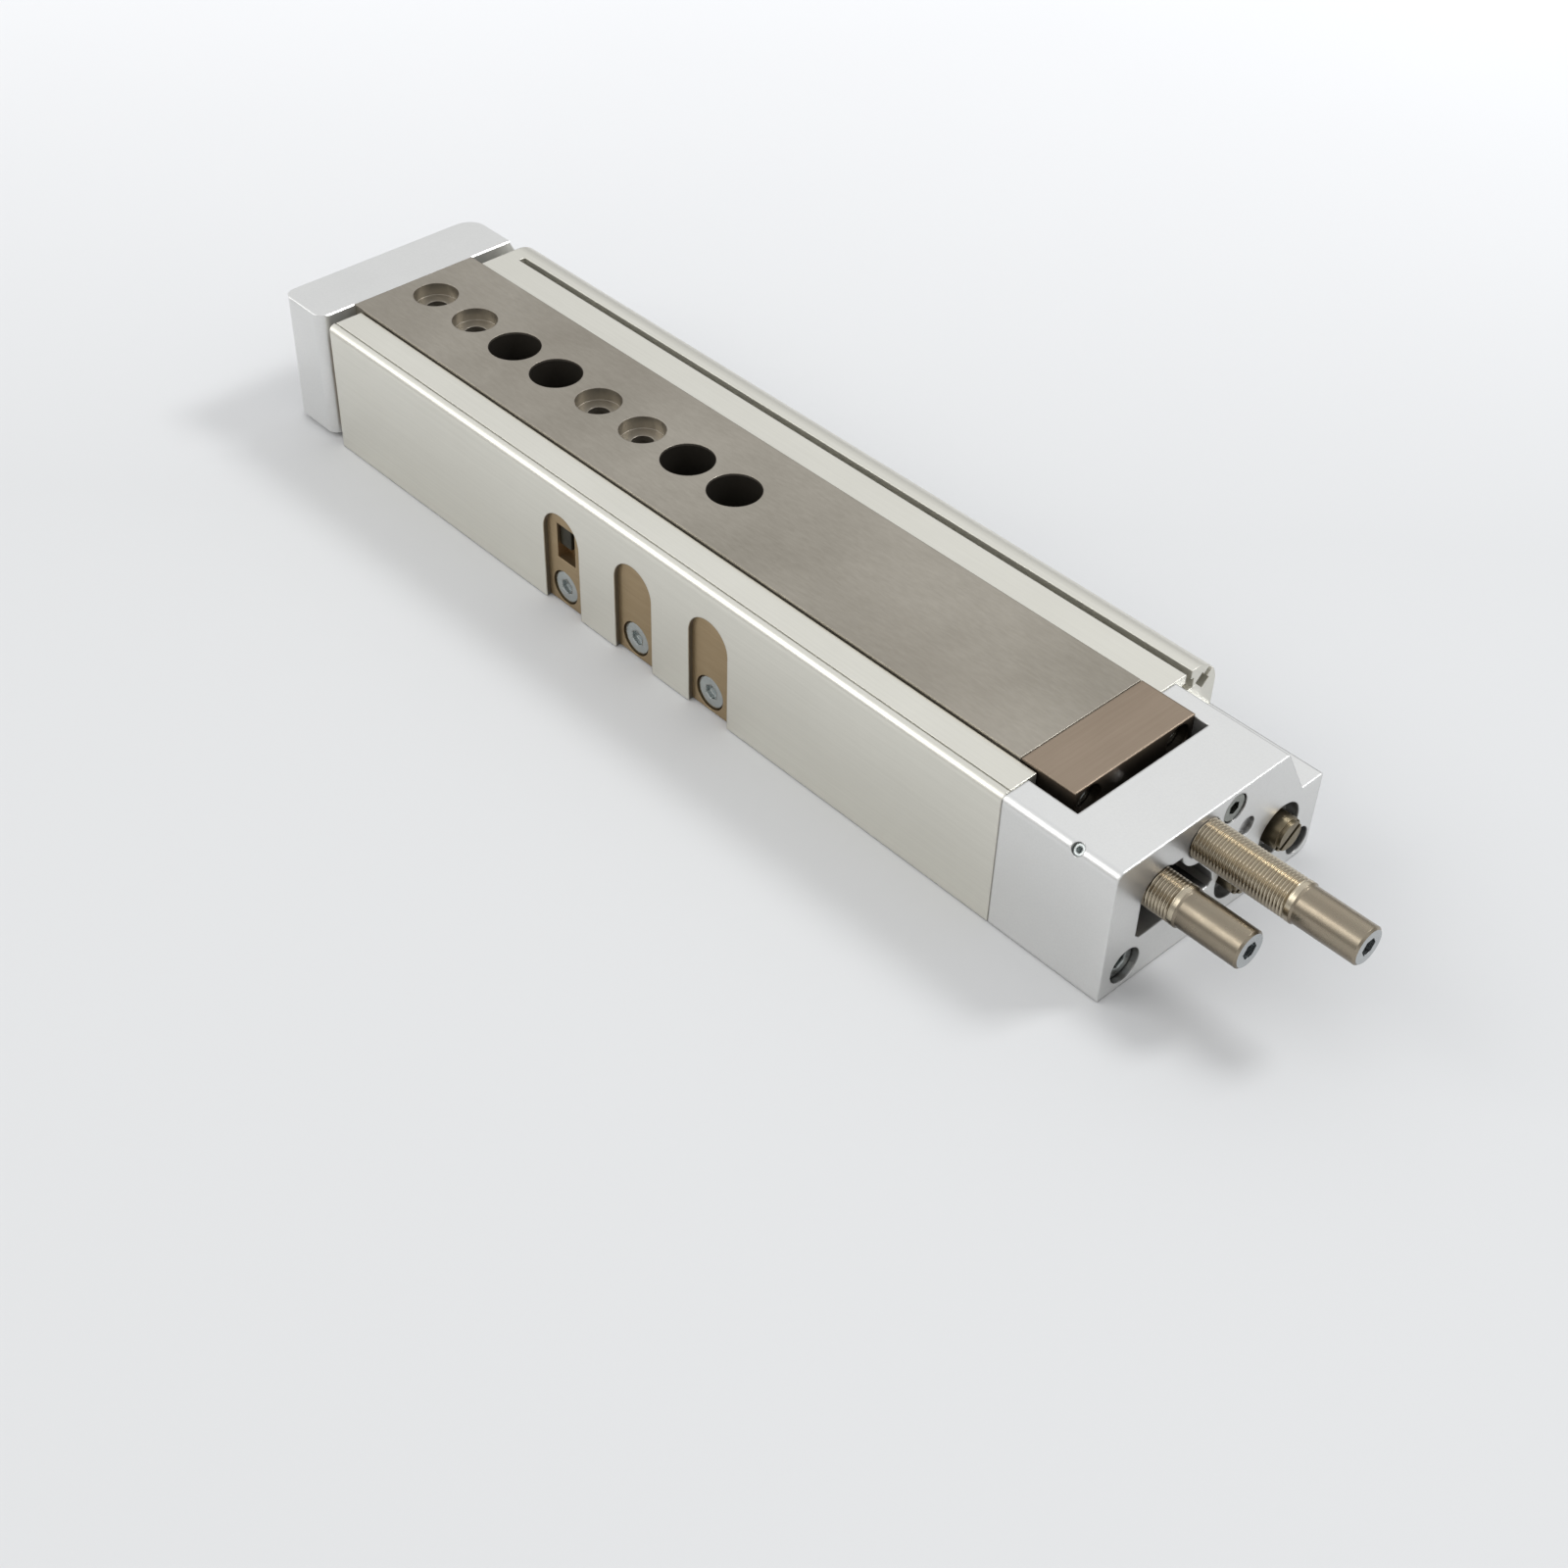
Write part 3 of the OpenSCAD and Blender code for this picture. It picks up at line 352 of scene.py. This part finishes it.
def threaded_sleeve(node, body):
    """A turned sleeve along X in the node's box: bore, helical thread, smooth end and key socket."""
    low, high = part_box(node)
    y, z, radius = (low.y + high.y) / 2, (low.z + high.z) / 2, (high.z - low.z) / 2
    length = high.x - low.x
    shape = bmesh.new()

    def ring(x, reach):
        verts = []
        for j in range(AROUND):
            turn = 2 * math.pi * j / AROUND
            r = reach(turn) if callable(reach) else reach
            verts.append(shape.verts.new((low.x + x, y + r * math.cos(turn), z + r * math.sin(turn))))
        return verts

    def key(turn):
        return KEY_RADIUS * math.cos(math.pi / 6) / math.cos(turn % (math.pi / 3) - math.pi / 6)

    def thread(x):
        fade = max(0.0, min(1.0, (x - END_CHAMFER) / PITCH, (THREAD_LENGTH - RUN_OUT - x) / PITCH))

        def reach(turn):
            phase = (x / PITCH - turn / (2 * math.pi)) % 1.0
            return radius - THREAD_DEPTH * fade * min(1.0, FLANK * (1 - abs(2 * phase - 1)))
        return reach

    count = round((THREAD_LENGTH - END_CHAMFER) / PITCH * STEPS)
    rings = [ring(BORE_DEPTH, BORE_RADIUS), ring(0, BORE_RADIUS), ring(0, radius - END_CHAMFER)]
    rings += [ring(x, thread(x)) for x in (END_CHAMFER + i * PITCH / STEPS for i in range(count + 1))]
    rings += [ring(THREAD_LENGTH + SMOOTH_CHAMFER, SMOOTH_RADIUS),
              ring(length - SMOOTH_CHAMFER, SMOOTH_RADIUS),
              ring(length, SMOOTH_RADIUS - SMOOTH_CHAMFER), ring(length, key),
              ring(length - KEY_DEPTH, key)]
    for i, (first, second) in enumerate(zip(rings, rings[1:])):
        for j in range(AROUND):
            k = (j + 1) % AROUND
            face = shape.faces.new((first[j], first[k], second[k], second[j]))
            corners = [math.hypot(v.co.y - y, v.co.z - z) for v in face.verts]
            if i < count + 2:                # bore, end face and thread
                deep = sum(corners) / len(corners) < radius - ROOT_FROM * THREAD_DEPTH
                face.material_index = ROOT if deep else CREST
            elif i >= len(rings) - 3:        # the smooth end's face and its key socket
                face.material_index = END
    for end in (rings[0], rings[-1]):
        shape.faces.new(end).material_index = END
    bmesh.ops.recalc_face_normals(shape, faces=shape.faces)
    mesh = bpy.data.meshes.new(node + "_threaded")
    shape.to_mesh(mesh)
    shape.free()
    mesh.shade_smooth()
    mesh.set_sharp_from_angle(angle=SHARP_ANGLE)
    for metal in SLEEVE_METALS:
        mesh.materials.append(metal)
    piece = bpy.data.objects.new(node + "_threaded", mesh)
    bpy.context.scene.collection.objects.link(piece)
    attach(piece, body)
    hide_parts(node)


threaded_sleeve("retract_absorber", "housing")
threaded_sleeve("extend_absorber", "table")


# Floor, light and camera

def soft_light(name, offset, size, power, colour):
    """A rectangular light at an offset from the object's middle, turned towards it."""
    stand = middle + Vector(offset)
    light = bpy.data.lights.new(name, "AREA")
    light.shape = "RECTANGLE"
    light.size, light.size_y = size
    light.energy = power
    light.color = colour
    obj = bpy.data.objects.new(name, light)
    obj.location = stand
    obj.rotation_euler = (middle - stand).to_track_quat("-Z", "Y").to_euler()
    bpy.context.scene.collection.objects.link(obj)


low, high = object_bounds()
middle = (low + high) / 2

FLOOR_REACH = 3.0
FLOOR_GAP = 0.0002       # so that the floor and the base don't share a plane
floor_mesh = bpy.data.meshes.new("floor")
corners = [(x * FLOOR_REACH, y * FLOOR_REACH, 0) for x, y in ((-1, -1), (1, -1), (1, 1), (-1, 1))]
floor_mesh.from_pydata(corners, [], [(0, 1, 2, 3)])
floor = bpy.data.objects.new("floor", floor_mesh)
floor.location.z = low.z - FLOOR_GAP
bpy.context.scene.collection.objects.link(floor)
floor_mat, tree, shader = material("pale_floor")
shader.inputs["Roughness"].default_value = 0.9
shader.inputs["Specular IOR Level"].default_value = 0.1
spot = place(tree)
# The floor lightens from the middle towards the far side: painted light, for the brighter background
# there
depth = combine(tree, spot["Y"], spot["X"], "SUBTRACT")
floor_tone_and_painted_glow = ramp(tree, remap(tree, depth, -0.35, 0.35, 0.0, 1.0),
             [(0.0, (0.665, 0.67, 0.675)), (0.45, (0.665, 0.67, 0.675)), (1.0, (0.92, 0.925, 0.94))])
clouds = remap(tree, noise(tree, 3.0), 0.3, 0.7, 0.15, 0.0)
tree.links.new(mix_colour(tree, floor_tone_and_painted_glow, (0.63, 0.635, 0.645), clouds), shader.inputs["Base Color"])
floor_mesh.materials.append(floor_mat)

world = bpy.data.worlds.new("world")
world.use_nodes = True
bpy.context.scene.world = world
tree = world.node_tree
background = tree.nodes["Background"]
sky = ramp(tree, remap(tree, place(tree, "Generated")["Z"], -0.2, 1.0, 0.0, 1.0),
           [(0.0, (0.50, 0.50, 0.50)), (0.17, (0.40, 0.40, 0.40)), (0.36, (0.46, 0.46, 0.46)),
            (0.64, (0.96, 0.97, 0.98)), (0.76, (0.96, 0.97, 0.98)), (1.0, (0.70, 0.71, 0.73))])
tree.links.new(sky, background.inputs["Color"])
background.inputs["Strength"].default_value = 0.98

soft_light("left_panel", (-0.53, -0.60, 0.60), (0.70, 0.55), 2.3, (1.0, 0.99, 0.97))
soft_light("right_panel", (0.35, 0.51, 0.78), (0.24, 0.24), 3.4, (0.98, 0.99, 1.0))
soft_light("front_fill", (0.55, -1.0, 0.55), (0.9, 0.6), 0.9, (1.0, 0.93, 0.82))

# The camera has the place and lens that the photograph's corners gave
camera = bpy.data.objects.new("camera", bpy.data.cameras.new("camera"))
camera.location = (0.2656, -0.1780, 0.2073)
camera.rotation_euler = (math.radians(47.65), math.radians(-1.38), math.radians(47.16))
camera.data.lens = 52.35
camera.data.sensor_width = 36.0
camera.data.clip_start = 0.01
bpy.context.scene.collection.objects.link(camera)
bpy.context.scene.camera = camera
bpy.context.scene.view_settings.view_transform = "Standard"
